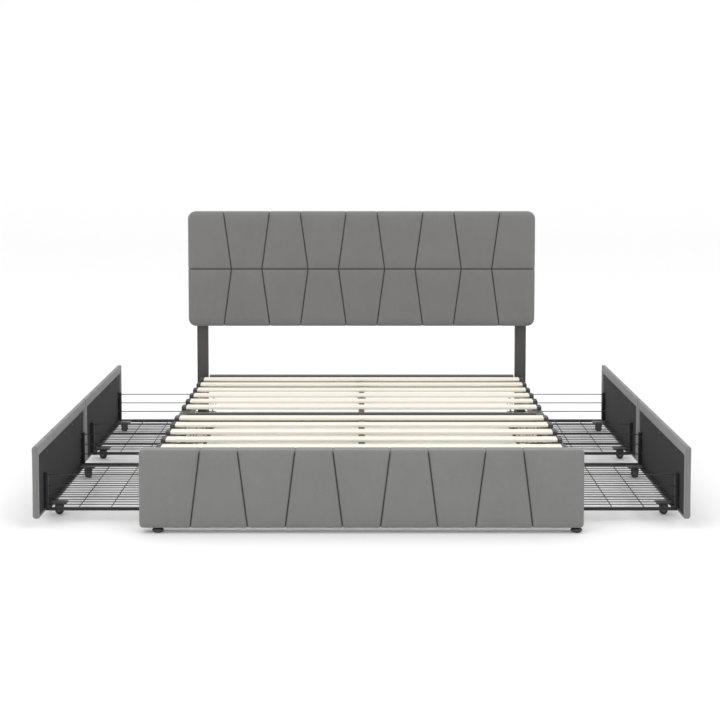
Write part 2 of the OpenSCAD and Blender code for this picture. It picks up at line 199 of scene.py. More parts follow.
class StudioSetup(bpy.types.PropertyGroup):
    """The camera, the lights and the floor."""

    distance: bpy.props.FloatProperty(
        name="Camera distance", description="Camera to the footboard's face", unit="LENGTH",
        min=2, max=20, default=5.733)
    height: bpy.props.FloatProperty(
        name="Camera height", description="Camera above the floor", unit="LENGTH",
        min=0.2, max=5, default=1.4453)
    tilt: bpy.props.FloatProperty(
        name="Camera tilt", description="Downward tilt of the camera", subtype="ANGLE",
        min=0, max=1.0, default=math.radians(4.277))
    lens: bpy.props.FloatProperty(
        name="Lens", description="Focal length", subtype="DISTANCE_CAMERA", min=20, max=300, default=81.11)
    floor: bpy.props.FloatVectorProperty(
        name="Floor", description="Colour of the floor", subtype="COLOR", size=3, min=0, max=1,
        default=(0.87, 0.87, 0.87))


# ---------- meshes from arrays ----------


def grid_quads(rows, columns, around=False):
    """Quads of a grid whose points are numbered row by row: corner (i, j), (i, j+1), (i+1, j+1), (i+1, j).
    With around, the last column joins the first."""
    i, j = np.meshgrid(np.arange(rows - 1), np.arange(columns if around else columns - 1), indexing="ij")
    k = (j + 1) % columns
    return np.stack([i * columns + j, i * columns + k, (i + 1) * columns + k, (i + 1) * columns + j],
                    axis=-1).reshape(-1, 4)


def join_parts(parts):
    """One (points, faces) from several, each part's face numbers moved up by the points before it."""
    points, faces, start = [], [], 0
    for p, f in parts:
        points.append(np.asarray(p, float))
        faces += [tuple(int(v) + start for v in face) for face in f]
        start += len(p)
    return np.vstack(points), faces


def make_piece(name, points, faces, material, smooth_angle=35.0, weld=0.0, marks=None):
    """A mesh object at the origin from points and faces, welded, its normals turned outwards.
    marks are numbers kept on its points, by name."""
    mesh = bpy.data.meshes.new(name)
    mesh.from_pydata(np.asarray(points, float).tolist(), [], [tuple(int(v) for v in f) for f in faces])
    for label, values in (marks or {}).items():
        mesh.attributes.new(label, "FLOAT", "POINT").data.foreach_set("value", values.astype(np.float32))
    bm = bmesh.new()
    bm.from_mesh(mesh)
    if weld > 0:
        bmesh.ops.remove_doubles(bm, verts=bm.verts, dist=weld)
    bmesh.ops.recalc_face_normals(bm, faces=bm.faces)
    bm.to_mesh(mesh)
    bm.free()
    mesh.shade_smooth()
    mesh.set_sharp_from_angle(angle=math.radians(smooth_angle))
    piece = bpy.data.objects.new(name, mesh)
    bpy.context.scene.collection.objects.link(piece)
    mesh.materials.append(material)
    return piece


def round_edges(piece, width):
    """Bevels the sharp edges of a piece and keeps its flat faces flat."""
    bevel = piece.modifiers.new("edge", "BEVEL")
    bevel.width, bevel.segments, bevel.limit_method = width, 2, "ANGLE"
    bevel.angle_limit = math.radians(40)
    flat = piece.modifiers.new("flat", "WEIGHTED_NORMAL")
    flat.keep_sharp = True


def circle_profile(radius, sides):
    """Points at equal angles round a circle."""
    a = np.arange(sides) * 2 * np.pi / sides
    return radius * np.stack([np.cos(a), np.sin(a)], axis=1)


def round_rect_profile(width, height, radius, steps=4):
    """A rectangle about the middle whose four corners are quarter circles."""
    a = np.linspace(0, np.pi / 2, steps)
    quarter = np.stack([np.cos(a), np.sin(a)], axis=1) * radius
    middle = np.array([width / 2 - radius, height / 2 - radius])
    turns = [np.array([[c, s], [-s, c]]) for c, s in ((1, 0), (0, 1), (-1, 0), (0, -1))]
    signs = np.array([[1, 1], [-1, 1], [-1, -1], [1, -1]])
    return np.vstack([quarter @ t + s * middle for t, s in zip(turns, signs)])


def sweep(profile, path, up=(0.0, 0.0, 1.0)):
    """Carries a flat profile along a path. At each point the tangent t is the mean of the two
    steps beside it, side = t x up, and a profile point (p, q) goes to path + p side + q (side x t).
    Each end is closed by one face."""
    path = np.asarray(path, float)
    steps = np.diff(path, axis=0)
    steps /= np.linalg.norm(steps, axis=1, keepdims=True)
    tangent = np.vstack([steps[:1], steps[:-1] + steps[1:], steps[-1:]])
    tangent /= np.linalg.norm(tangent, axis=1, keepdims=True)
    side = np.cross(tangent, np.asarray(up, float))
    side /= np.linalg.norm(side, axis=1, keepdims=True)
    rise = np.cross(side, tangent)
    points = path[:, None] + profile[None, :, :1] * side[:, None] + profile[None, :, 1:] * rise[:, None]
    n = len(profile)
    faces = [tuple(f) for f in grid_quads(len(path), n, around=True)]
    faces += [tuple(range(n))[::-1], tuple(range((len(path) - 1) * n, len(path) * n))]
    return points.reshape(-1, 3), faces


def turned(profile, centre, axis, sides):
    """Spins a closed profile of (radius, along) points about an axis: a point at angle a is
    centre + along axis + radius (cos a e1 + sin a e2)."""
    axis = np.asarray(axis, float)
    e1 = np.cross(axis, (0.0, 0.0, 1.0) if abs(axis[2]) < 0.9 else (1.0, 0.0, 0.0))
    e1 /= np.linalg.norm(e1)
    e2 = np.cross(axis, e1)
    a = np.arange(sides) * 2 * np.pi / sides
    ring = np.cos(a)[:, None] * e1 + np.sin(a)[:, None] * e2
    profile = np.asarray(profile, float)
    points = (np.asarray(centre, float) + profile[:, None, 1:] * axis + profile[:, None, :1] * ring[None])
    faces = [tuple(f) for f in grid_quads(len(profile), sides, around=True)]
    return points.reshape(-1, 3), faces


def turned_solid(profile, centre, axis, sides):
    """A turned piece whose open first and last rings are closed by flat faces."""
    points, faces = turned(profile, centre, axis, sides)
    last = (len(profile) - 1) * sides
    return points, faces + [tuple(range(sides))[::-1], tuple(range(last, last + sides))]


def bent_path(points, radius, steps=5):
    """A polyline whose inner corners are quarter bends: each corner is replaced by the curve
    (1-s)^2 a + 2 s (1-s) corner + s^2 b between points a and b a radius away on its two sides."""
    points = [np.asarray(p, float) for p in points]
    s = np.linspace(0, 1, steps)[:, None]
    out = [points[0][None]]
    for before, corner, after in zip(points, points[1:], points[2:]):
        a = corner + radius * (before - corner) / np.linalg.norm(before - corner)
        b = corner + radius * (after - corner) / np.linalg.norm(after - corner)
        out.append((1 - s) ** 2 * a + 2 * s * (1 - s) * corner + s ** 2 * b)
    out.append(points[-1][None])
    return np.vstack(out)


# ---------- shader node groups ----------


def new_group(name, inputs, outputs):
    """An empty shader node group with its input and output nodes: (group, nodes, links, put, out)."""
    group = bpy.data.node_groups.new(name, "ShaderNodeTree")
    for label, kind, default in inputs:
        socket = group.interface.new_socket(label, in_out="INPUT", socket_type=kind)
        socket.default_value = default
    for label, kind in outputs:
        group.interface.new_socket(label, in_out="OUTPUT", socket_type=kind)
    put, out = group.nodes.new("NodeGroupInput"), group.nodes.new("NodeGroupOutput")
    return group, group.nodes, group.links, put, out


def math_node(nodes, links, operation, a, b=None, clamp=False):
    """A Math node whose inputs are sockets or numbers."""
    node = nodes.new("ShaderNodeMath")
    node.operation, node.use_clamp = operation, clamp
    for socket, value in zip(node.inputs, (a, b)):
        if value is None:
            continue
        if isinstance(value, (int, float)):
            socket.default_value = value
        else:
            links.new(value, socket)
    return node.outputs[0]


def noise_node(nodes, links, vector, scale, detail, rough):
    """A Noise texture's value on a vector."""
    node = nodes.new("ShaderNodeTexNoise")
    node.inputs["Scale"].default_value = scale
    node.inputs["Detail"].default_value = detail
    node.inputs["Roughness"].default_value = rough
    links.new(vector, node.inputs["Vector"])
    return node.outputs["Fac"]


def stretched(nodes, links, vector, scale):
    """A vector scaled by its own amount along each axis."""
    node = nodes.new("ShaderNodeMapping")
    node.inputs["Scale"].default_value = scale
    links.new(vector, node.inputs["Vector"])
    return node.outputs["Vector"]


def mixed_colour(nodes, links, factor, a, b):
    """A Mix node between two colour sockets."""
    node = nodes.new("ShaderNodeMix")
    node.data_type = "RGBA"
    for socket, value in ((node.inputs[0], factor), (node.inputs[6], a), (node.inputs[7], b)):
        links.new(value, socket)
    return node.outputs[2]


def tone_range(nodes, links, value, low, high):
    """Carries a 0 to 1 value to the range low to high."""
    return math_node(nodes, links, "ADD", math_node(nodes, links, "MULTIPLY", value, high - low), low)


def scaled_colour(nodes, links, colour, factor):
    """A colour times a number."""
    node = nodes.new("ShaderNodeVectorMath")
    node.operation = "SCALE"
    links.new(colour, node.inputs[0])
    links.new(factor, node.inputs["Scale"])
    return node.outputs[0]


def woven_cloth_group():
    """Cloth of crossed threads: three sets of thread waves, one along each axis, multiplied in
    pairs, over a speckle of mixed yarns and a slow drift of tone; seams are darkened as painted shade."""
    group, nodes, links, put, out = new_group(
        "woven_cloth",
        [("Vector", "NodeSocketVector", (0, 0, 0)), ("Colour", "NodeSocketColor", (0.5, 0.5, 0.5, 1)),
         ("Thread", "NodeSocketFloat", 0.0014), ("Seam", "NodeSocketFloat", 0.0),
         ("Seam shade", "NodeSocketFloat", 0.7)],
        [("Colour", "NodeSocketColor"), ("Roughness", "NodeSocketFloat"), ("Height", "NodeSocketFloat")])
    vector = put.outputs["Vector"]
    turn = math_node(nodes, links, "DIVIDE", math.tau, put.outputs["Thread"])
    split = nodes.new("ShaderNodeSeparateXYZ")
    links.new(vector, split.inputs[0])
    waves = [math_node(nodes, links, "SINE", math_node(nodes, links, "MULTIPLY", split.outputs[i], turn))
             for i in range(3)]
    pairs = [math_node(nodes, links, "MULTIPLY", waves[a], waves[b]) for a, b in ((0, 2), (1, 2), (0, 1))]
    weave = math_node(nodes, links, "ADD", math_node(nodes, links, "ADD", pairs[0], pairs[1]), pairs[2])
    fuzz = noise_node(nodes, links, vector, 900.0, 3.0, 0.7)
    speckle = noise_node(nodes, links, vector, 260.0, 4.0, 0.75)
    drift = noise_node(nodes, links, vector, 5.5, 3.0, 0.55)
    nap = noise_node(nodes, links, stretched(nodes, links, vector, (1.0, 1.0, 0.35)), 42.0, 3.0, 0.6)
    tone = math_node(nodes, links, "MULTIPLY", tone_range(nodes, links, speckle, 0.80, 1.20),
                     tone_range(nodes, links, drift, 0.92, 1.08))
    tone = math_node(nodes, links, "MULTIPLY", tone, tone_range(nodes, links, nap, 0.95, 1.05))
    tone = math_node(nodes, links, "MULTIPLY", tone, tone_range(nodes, links, weave, 0.985, 1.03))
    # Painted shade: the Seam input darkens the colour along each seam, standing in for the crease's shade.
    shade = math_node(nodes, links, "MULTIPLY", put.outputs["Seam"], put.outputs["Seam shade"])
    unshaded = math_node(nodes, links, "SUBTRACT", 1.0, shade, clamp=True)
    tone = math_node(nodes, links, "MULTIPLY", tone, unshaded)
    links.new(scaled_colour(nodes, links, put.outputs["Colour"], tone), out.inputs["Colour"])
    links.new(tone_range(nodes, links, speckle, 0.82, 0.98), out.inputs["Roughness"])
    height = math_node(nodes, links, "ADD", math_node(nodes, links, "MULTIPLY", weave, 0.30),
                       math_node(nodes, links, "MULTIPLY", fuzz, 0.7))
    links.new(height, out.inputs["Height"])
    return group


def powder_coat_group():
    """Baked powder coat: a fine orange-peel ripple, a slow drift of tone, and thin dust in patches."""
    group, nodes, links, put, out = new_group(
        "powder_coat",
        [("Vector", "NodeSocketVector", (0, 0, 0)), ("Colour", "NodeSocketColor", (0.06, 0.06, 0.06, 1)),
         ("Gloss", "NodeSocketFloat", 0.45)],
        [("Colour", "NodeSocketColor"), ("Roughness", "NodeSocketFloat"), ("Height", "NodeSocketFloat")])
    vector = put.outputs["Vector"]
    peel = noise_node(nodes, links, vector, 620.0, 2.0, 0.5)
    drift = noise_node(nodes, links, vector, 7.0, 3.0, 0.6)
    dust = noise_node(nodes, links, vector, 55.0, 5.0, 0.7)
    tone = math_node(nodes, links, "MULTIPLY", tone_range(nodes, links, drift, 0.86, 1.14),
                     tone_range(nodes, links, dust, 0.93, 1.08))
    links.new(scaled_colour(nodes, links, put.outputs["Colour"], tone), out.inputs["Colour"])
    rough = math_node(nodes, links, "ADD", put.outputs["Gloss"], tone_range(nodes, links, dust, -0.10, 0.10))
    links.new(rough, out.inputs["Roughness"])
    links.new(peel, out.inputs["Height"])
    return group


def wood_grain_group():
    """Planed pale wood: long streaks along X from a stretched noise, fine pores from one stretched
    further, and a broad change of tone from board to board."""
    group, nodes, links, put, out = new_group(
        "wood_grain",
        [("Vector", "NodeSocketVector", (0, 0, 0)), ("Colour", "NodeSocketColor", (0.8, 0.75, 0.65, 1)),
         ("Dark", "NodeSocketColor", (0.6, 0.5, 0.38, 1))],
        [("Colour", "NodeSocketColor"), ("Roughness", "NodeSocketFloat"), ("Height", "NodeSocketFloat")])
    vector = put.outputs["Vector"]
    warp = noise_node(nodes, links, stretched(nodes, links, vector, (1.2, 9.0, 9.0)), 3.0, 3.0, 0.55)
    streak = noise_node(nodes, links, stretched(nodes, links, vector, (1.6, 60.0, 60.0)), 4.0, 4.0, 0.6)
    pores = noise_node(nodes, links, stretched(nodes, links, vector, (14.0, 420.0, 420.0)), 3.0, 2.0, 0.6)
    board = noise_node(nodes, links, stretched(nodes, links, vector, (0.1, 6.4, 0.1)), 1.0, 0.0, 0.5)
    grain = math_node(nodes, links, "ADD", math_node(nodes, links, "MULTIPLY", streak, 0.62),
                      math_node(nodes, links, "MULTIPLY", warp, 0.38))
    sharp = nodes.new("ShaderNodeMapRange")
    sharp.inputs["From Min"].default_value, sharp.inputs["From Max"].default_value = 0.42, 0.66
    sharp.inputs["To Min"].default_value, sharp.inputs["To Max"].default_value = 0.0, 0.55
    links.new(grain, sharp.inputs["Value"])
    colour = mixed_colour(nodes, links, sharp.outputs["Result"], put.outputs["Colour"], put.outputs["Dark"])
    tone = math_node(nodes, links, "MULTIPLY", tone_range(nodes, links, board, 0.93, 1.07),
                     tone_range(nodes, links, pores, 0.95, 1.04))
    links.new(scaled_colour(nodes, links, colour, tone), out.inputs["Colour"])
    links.new(tone_range(nodes, links, streak, 0.46, 0.66), out.inputs["Roughness"])
    links.new(math_node(nodes, links, "ADD", pores, streak), out.inputs["Height"])
    return group


def moulded_plastic_group():
    """Moulded plastic: a spark-eroded grain, faint flow marks and a little scuffing."""
    group, nodes, links, put, out = new_group(
        "moulded_plastic",
        [("Vector", "NodeSocketVector", (0, 0, 0)), ("Colour", "NodeSocketColor", (0.05, 0.05, 0.05, 1)),
         ("Gloss", "NodeSocketFloat", 0.5)],
        [("Colour", "NodeSocketColor"), ("Roughness", "NodeSocketFloat"), ("Height", "NodeSocketFloat")])
    vector = put.outputs["Vector"]
    grain = noise_node(nodes, links, vector, 1400.0, 2.0, 0.6)
    flow = noise_node(nodes, links, vector, 38.0, 3.0, 0.6)
    scuff = noise_node(nodes, links, stretched(nodes, links, vector, (1.0, 3.0, 6.0)), 160.0, 4.0, 0.7)
    tone = math_node(nodes, links, "MULTIPLY", tone_range(nodes, links, flow, 0.85, 1.15),
                     tone_range(nodes, links, scuff, 0.9, 1.12))
    links.new(scaled_colour(nodes, links, put.outputs["Colour"], tone), out.inputs["Colour"])
    rough = math_node(nodes, links, "ADD", put.outputs["Gloss"], tone_range(nodes, links, scuff, -0.08, 0.12))
    links.new(rough, out.inputs["Roughness"])
    links.new(grain, out.inputs["Height"])
    return group


GROUPS = {}
GROUP_MAKERS = {
    "woven_cloth": woven_cloth_group,
    "powder_coat": powder_coat_group,
    "wood_grain": wood_grain_group,
    "moulded_plastic": moulded_plastic_group,
}


def surface_material(name, effect, values, bump=0.1, bump_distance=0.0004, metallic=0.0, **constants):
    """A material whose colour, roughness and bump come from a node group on Object coordinates;
    constants are set on the Principled shader's own sockets.

    A material that already exists under the name is returned as it is. The frame brings plain ones
    named slat_wood, bolt_steel, caster_steel and wheel_plastic, so for these four nothing that is
    asked for here is built, and the Wood setting has no effect."""
    if name in bpy.data.materials:
        return bpy.data.materials[name]
    if effect not in GROUPS:
        GROUPS[effect] = GROUP_MAKERS[effect]()
    material = bpy.data.materials.new(name)
    material.use_nodes = True
    nodes, links = material.node_tree.nodes, material.node_tree.links
    shader = nodes["Principled BSDF"]
    place = nodes.new("ShaderNodeTexCoord")
    group = nodes.new("ShaderNodeGroup")
    group.node_tree = GROUPS[effect]
    links.new(place.outputs["Object"], group.inputs["Vector"])
    for label, value in values.items():
        if isinstance(value, str):
            attribute = nodes.new("ShaderNodeAttribute")
            attribute.attribute_name = value
            links.new(attribute.outputs["Fac"], group.inputs[label])
        else:
            group.inputs[label].default_value = (*value, 1) if isinstance(value, (tuple, list)) else value
    links.new(group.outputs["Colour"], shader.inputs["Base Color"])
    links.new(group.outputs["Roughness"], shader.inputs["Roughness"])
    height = nodes.new("ShaderNodeBump")
    height.inputs["Strength"].default_value = bump
    height.inputs["Distance"].default_value = bump_distance
    links.new(group.outputs["Height"], height.inputs["Height"])
    links.new(height.outputs["Normal"], shader.inputs["Normal"])
    shader.inputs["Metallic"].default_value = metallic
    for label, value in constants.items():
        shader.inputs[label.replace("_", " ")].default_value = value
    return material


def bed_cloth():
    look = bpy.context.scene.bed_upholstery
    # The seam mark darkens the cloth colour along its seams as painted shade.
    return surface_material(
        "grey_cloth", "woven_cloth",
        {"Colour": tuple(look.cloth), "Thread": look.thread, "Seam": "seam", "Seam shade": look.painted_seam_shade},
        bump=0.35, bump_distance=0.0005, Sheen_Weight=0.25, Sheen_Roughness=0.45, Specular_IOR_Level=0.25)


def dark_lining():
    return surface_material(
        "dark_lining", "woven_cloth", {"Colour": (0.034, 0.034, 0.036), "Thread": 0.0022, "Seam": 0.0},
        bump=0.3, bump_distance=0.0004, Specular_IOR_Level=0.25)


def frame_coat():
    return surface_material(
        "frame_coat", "powder_coat",
        {"Colour": tuple(bpy.context.scene.bed_steel.frame_coat), "Gloss": 0.46},
        bump=0.12, bump_distance=0.0003, Specular_IOR_Level=0.45)


def wire_coat():
    return surface_material(
        "wire_coat", "powder_coat", {"Colour": tuple(bpy.context.scene.bed_steel.wire_coat), "Gloss": 0.40},
        bump=0.1, bump_distance=0.0002, Specular_IOR_Level=0.3)


def caster_steel():
    return surface_material(
        "caster_steel", "powder_coat", {"Colour": (0.030, 0.030, 0.031), "Gloss": 0.36},
        bump=0.1, bump_distance=0.0002, metallic=0.2)


def bolt_steel():
    return surface_material(
        "bolt_steel", "powder_coat", {"Colour": (0.10, 0.10, 0.10), "Gloss": 0.32},
        bump=0.1, bump_distance=0.0002, metallic=0.9)


def slat_wood():
    wood = tuple(bpy.context.scene.bed_slats.wood)
    dark = tuple(c * d for c, d in zip(wood, (0.82, 0.76, 0.66)))
    return surface_material(
        "slat_wood", "wood_grain", {"Colour": wood, "Dark": dark},
        bump=0.12, bump_distance=0.0005)


def black_plastic():
    return surface_material(
        "black_plastic", "moulded_plastic", {"Colour": (0.030, 0.030, 0.031), "Gloss": 0.48},
        bump=0.15, bump_distance=0.0002)


def wheel_plastic():
    return surface_material(
        "wheel_plastic", "moulded_plastic", {"Colour": (0.020, 0.020, 0.021), "Gloss": 0.38},
        bump=0.12, bump_distance=0.0002)


# ---------- padded boards ----------


def graded(low, high, near_low, near_high, step):
    """Positions from low to high: the given offsets beside each end, and even steps between."""
    a, b = low + near_low[-1], high - near_high[-1]
    count = max(2, int(round((b - a) / step)))
    return np.concatenate([low + near_low, np.linspace(a, b, count + 1)[1:-1], (high - near_high)[::-1]])


def rounded_edge_offsets(radius, steps=6):
    """Distances in from the edge at equal angles round a quarter circle of that radius."""
    return radius * (1 - np.cos(np.linspace(0, np.pi / 2, steps)))


SEAM_OFFSETS = np.array([0.0, 0.0012, 0.0027, 0.0048, 0.0080, 0.0130, 0.0200])


class PaddedBoard:
    """A board wrapped in foam and cloth. Its points have u across, v up and w back from the front.

    Each of lines gives, for a v, an upright seam's u and its lean; levels are the v of the level
    seams. lip is the width of cloth round the back at the ends, the bottom and the top, and pocket
    is how deep the back is hollow inside it."""

    def __init__(self, half, v0, v1, thick, corner, edge, lines, levels, lip, pocket):
        look = bpy.context.scene.bed_upholstery
        self.half, self.v0, self.v1, self.thick = half, v0, v1, thick
        self.corner, self.edge, self.lines, self.levels = corner, edge, lines, levels
        self.lip, self.pocket = lip, pocket
        self.depth, self.width, self.crown = look.seam_depth, look.seam_width, look.crown

    def edge_distance(self, u, v):
        """Distance in from the round-cornered outline, and the outline's outward normal."""
        mid, rise = (self.v0 + self.v1) / 2, (self.v1 - self.v0) / 2
        qu = np.abs(u) - (self.half - self.corner)
        qv = np.abs(v - mid) - (rise - self.corner)
        far = np.hypot(np.maximum(qu, 0), np.maximum(qv, 0))
        inside = self.corner - far - np.minimum(np.maximum(qu, qv), 0)
        at_corner = (qu > 0) & (qv > 0)
        nu = np.where(at_corner, qu / np.maximum(far, 1e-9), (qu > qv).astype(float))
        nv = np.where(at_corner, qv / np.maximum(far, 1e-9), (qu <= qv).astype(float))
        return np.maximum(inside, 0), nu * np.sign(u + 1e-12), nv * np.sign(v - mid + 1e-12)

    def seam_distance(self, u, v):
        """Distance to the nearest seam: |u - line(v)| times the cosine of its lean, or |v - level|."""
        d = np.full(np.shape(u), 1.0)
        for line in self.lines:
            at, lean = line(v)
            d = np.minimum(d, np.abs(u - at) * np.cos(np.arctan(lean)))
        for level in self.levels:
            d = np.minimum(d, np.abs(v - level))
        return d

    def front_grid(self):
        """Rows follow v and columns follow u; a column keeps its place between its two seams, so a
        seam is always a line of points. The outline pulls the row ends in round the corners."""
        edge = rounded_edge_offsets(self.edge)
        stops = [self.v0, *self.levels, self.v1]
        rows = []
        for n, (a, b) in enumerate(zip(stops, stops[1:])):
            near_a = edge if n == 0 else SEAM_OFFSETS
            near_b = edge if n == len(stops) - 2 else SEAM_OFFSETS
            part = graded(a, b, near_a, near_b, GRID_STEP)
            rows.append(part if n == 0 else part[1:])
        v = np.concatenate(rows)
        over = np.minimum(v - self.v0, self.v1 - v)
        inset = np.where(over < self.corner,
                         self.corner - np.sqrt(np.maximum(self.corner**2 - (self.corner - over) ** 2, 0)), 0)
        walls = [-(self.half - inset), *(line(v)[0] for line in self.lines), self.half - inset]
        columns = []
        for n, (a, b) in enumerate(zip(walls, walls[1:])):
            near_a = edge if n == 0 else SEAM_OFFSETS
            near_b = edge if n == len(walls) - 2 else SEAM_OFFSETS
            fill = max(6, int(round(np.mean(b - a) / GRID_STEP)))
            t = np.linspace(0, 1, fill + 1)[1:-1]
            first, last = a[:, None] + near_a, b[:, None] - near_b[::-1]
            between = first[:, -1:] * (1 - t) + last[:, :1] * t
            part = np.hstack([first, between, last])
            columns.append(part if n == 0 else part[:, 1:])
        u = np.hstack(columns)
        return u, np.repeat(v[:, None], u.shape[1], axis=1)

    def surface(self):
        """The closed board. The front is w = edge - sqrt(edge^2 - (edge - d)^2) at a distance d from
        the outline; rings of the outline make the side wall, the wrapped lip and the pocket behind,
        whose floor closes on a spine at mid height.
        Every point then moves in along its normal by depth exp(-(s / width)^1.4) beside a seam."""
        u, v = self.front_grid()
        d, nu, nv = self.edge_distance(u, v)
        slope = np.clip((self.edge - d) / self.edge, 0, 1)
        w = self.edge * (1 - np.sqrt(1 - slope**2)) + self.crown
        normal = np.stack([slope * nu, slope * nv, -np.sqrt(1 - slope**2)], axis=-1)
        rows, columns = u.shape
        index = np.arange(rows * columns).reshape(rows, columns)
        loop = np.concatenate([index[0, :-1], index[:-1, -1], index[-1, :0:-1], index[:0:-1, 0]])
        lu, lv = u.ravel()[loop], v.ravel()[loop]
        _, mu, mv = self.edge_distance(lu, lv)
        out = np.stack([mu, mv, np.zeros_like(mu)], axis=1)
        tuck = 1 + np.clip(-mv, 0, 1) * (min(1.0, self.lip[1] / FULL_LIP) - 1)
        start, stop = self.edge + self.crown, self.thick - BACK_ROUND
        rings = [(0.0, s, 0.35) for s in np.linspace(start, stop, max(3, int((stop - start) / 0.008)))[1:]]
        rings += [(BACK_ROUND * (1 - math.cos(a)), stop + BACK_ROUND * math.sin(a), 0.2)
                  for a in (0.5, 1.0, math.pi / 2)]
        points, normals = [np.stack([u.ravel(), v.ravel(), w.ravel()], 1)], [normal.reshape(-1, 3)]
        fade = [0.35 + 0.65 * np.clip(d.ravel() / self.edge, 0, 1)]
        for inward, depth, keep in rings:
            ring_u, ring_v = lu - mu * inward * tuck, lv - mv * inward * tuck
            points.append(np.stack([ring_u, ring_v, np.full(len(lu), depth)], 1))
            normals.append(out)
            fade.append(np.full(len(lu), keep))
        low, high = self.v0 + self.lip[1], self.v1 - self.lip[2]
        mid, rise = (low + high) / 2, (high - low) / 2
        iu = np.clip(lu, -(self.half - self.lip[0]), self.half - self.lip[0])
        iv = np.clip(lv, low, high)
        across = (u[0] + u[-1]) / 2
        reach = self.half - self.lip[0] - rise
        spine = np.clip(np.concatenate([across[:-1], np.full(rows - 1, across[-1]), across[:0:-1],
                                        np.full(rows - 1, across[0])]), -reach, reach)
        half_u = (lu - mu * BACK_ROUND * tuck + iu) / 2
        half_v = (lv - mv * BACK_ROUND * tuck + iv) / 2
        ridge, rim, floor = self.thick + 0.0004, self.thick - 0.0006, self.thick - self.pocket
        for pu, pv, depth in ((half_u, half_v, ridge), (iu, iv, rim), (iu, iv, floor),
                              (spine, np.full(len(lu), mid), floor)):
            points.append(np.stack([pu, pv, np.full(len(pu), depth)], 1))
            normals.append(out)
            fade.append(np.zeros(len(pu)))
        points, normals, fade = np.vstack(points), np.vstack(normals), np.concatenate(fade)
        seam = self.seam_distance(points[:, 0], points[:, 1])
        pull = self.depth * np.exp(-((seam / self.width) ** 1.4)) * fade
        points = points - normals * pull[:, None]
        faces = [tuple(f) for f in grid_quads(rows, columns)]
        n, base = len(lu), rows * columns
        previous = loop
        for k in range((len(points) - base) // n):
            ring = base + k * n + np.arange(n)
            faces += [tuple(f) for f in np.stack(
                [previous, ring, np.roll(ring, -1), np.roll(previous, -1)], axis=1)]
            previous = ring
        free = np.zeros(len(points))
        free[:base] = (np.clip((seam[:base] - SEAM_MASK) / FREE_FROM_SEAM, 0, 1)
                       * np.clip(d.ravel() / FREE_FROM_EDGE, 0, 1))
        # Painted shade: a mark that darkens the cloth colour along each seam, standing in for the shade in
        # the crease.
        painted_crease_shade = np.exp(-((seam / SEAM_MASK) ** 2)) * fade
        return points, faces, {"free": free, "seam": painted_crease_shade, "gap": seam}


def point_values(mesh, label, size=1):
    """A mesh's point positions, normals or marks as an array."""
    values = np.empty(len(mesh.vertices) * size)
    if label == "co":
        mesh.vertices.foreach_get("co", values)
    elif label == "normal":
        mesh.vertex_normals.foreach_get("vector", values)
    else:
        mesh.attributes[label].data.foreach_get("value", values)
    return values.reshape(-1, size) if size > 1 else values


def stuff_with_cloth(piece, free, cap):
    """Cloth simulation under inner pressure, held at the seams and behind the edge: the foam
    pushes each channel out, and the length m of each point's move is limited to cap tanh(m / cap)."""
    held = piece.vertex_groups.new(name="held")
    weights = np.round(1 - free, 1)
    for weight in np.unique(weights[weights > 0]):
        held.add(np.nonzero(weights == weight)[0].tolist(), float(weight), "REPLACE")
    cloth = piece.modifiers.new("stuffing", "CLOTH")
    settings = cloth.settings
    settings.quality, settings.mass = 5, 0.3
    settings.tension_stiffness = settings.compression_stiffness = 22
    settings.shear_stiffness, settings.bending_stiffness = 8, 0.8
    settings.use_pressure, settings.uniform_pressure_force = True, 4.0
    settings.vertex_group_mass = "held"
    settings.effector_weights.gravity = 0.0
    cloth.collision_settings.use_collision = False
    cloth.point_cache.frame_start, cloth.point_cache.frame_end = 1, 20
    for step in range(1, 21):
        bpy.context.scene.frame_set(step)
    shaped = piece.evaluated_get(bpy.context.evaluated_depsgraph_get())
    move = point_values(shaped.data, "co", 3) - point_values(piece.data, "co", 3)
    piece.modifiers.remove(cloth)
    piece.vertex_groups.remove(held)
    bpy.context.scene.frame_set(1)
    size = np.linalg.norm(move, axis=1, keepdims=True)
    return move * (cap * np.tanh(size / cap) / np.maximum(size, 1e-9))


def padded_piece(name, board, to_world, node, body, moves=None):
    """One padded board placed in the bed; moves are a like board's stuffing, used again."""
    points, faces, marks = board.surface()
    piece = make_piece(name, points, faces, bed_cloth(), smooth_angle=180.0, weld=1e-5, marks=marks)
    mesh = piece.data
    rest, free, gap = point_values(mesh, "co", 3), point_values(mesh, "free"), point_values(mesh, "gap")
    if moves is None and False:
        swell = board.crown * (1 - np.exp(-((gap / 0.03) ** 1.5))) * free
        moves = point_values(mesh, "normal", 3) * swell[:, None]
    elif moves is None:
        moves = stuff_with_cloth(piece, free, board.crown)
    mesh.vertices.foreach_set("co", to_world(rest + moves).ravel())
    for label in ("free", "gap"):
        mesh.attributes.remove(mesh.attributes[label])
    bm = bmesh.new()
    bm.from_mesh(mesh)
    bmesh.ops.recalc_face_normals(bm, faces=bm.faces)
    bm.to_mesh(mesh)
    bm.free()
    finer = piece.modifiers.new("finer", "SUBSURF")
    finer.levels = finer.render_levels = 1
    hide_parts(node)
    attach(piece, body)
    return moves


def leaning_line(at, lean, v0, v1):
    """A straight seam: u = at + lean (2 (v - v0) / (v1 - v0) - 1)."""
    return lambda v: (at + lean * (2 * (v - v0) / (v1 - v0) - 1), 2 * lean / (v1 - v0))


def chevron_line(at, lean, v0, v1):
    """A seam with one knee at mid height: u = at + lean (1 - 2 |2 (v - v0) / (v1 - v0) - 1|)."""
    return lambda v: (at + lean * (1 - 2 * np.abs(2 * (v - v0) / (v1 - v0) - 1)), 4 * lean / (v1 - v0))


def upright_seams(channels, pitch, lean, make_line, v0, v1):
    """The seams between a board's channels, even across it, which lean one way and the other in turn."""
    return [make_line((k - channels / 2) * pitch, lean if k % 2 else -lean, v0, v1)
            for k in range(1, channels)]


